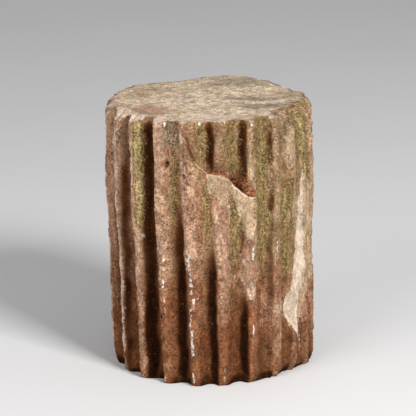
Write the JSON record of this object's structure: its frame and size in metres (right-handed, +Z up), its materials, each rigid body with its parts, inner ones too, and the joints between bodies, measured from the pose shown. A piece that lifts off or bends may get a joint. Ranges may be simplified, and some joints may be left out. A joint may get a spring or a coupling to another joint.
{
  "type": "fluted column fragment",
  "caption": "Short weathered stone column fragment with concave flutes, worn ridges, flaked breaks on one side and a rough top, standing on its flat underside.",
  "frame": {"origin": "centre of the footprint's box, on the flat underside", "axes": "+Z up the shaft, -Y towards the side with the ledge and the long flakes"},
  "size_m": [0.356, 0.3488, 0.4563],
  "materials": {
    "weathered_stone": "rough, weathered, with moss in the flutes and pale fresh breaks"
  },
  "bodies": {
    "root": {"column_fragment": "weathered_stone"}
  },
  "joints": []
}
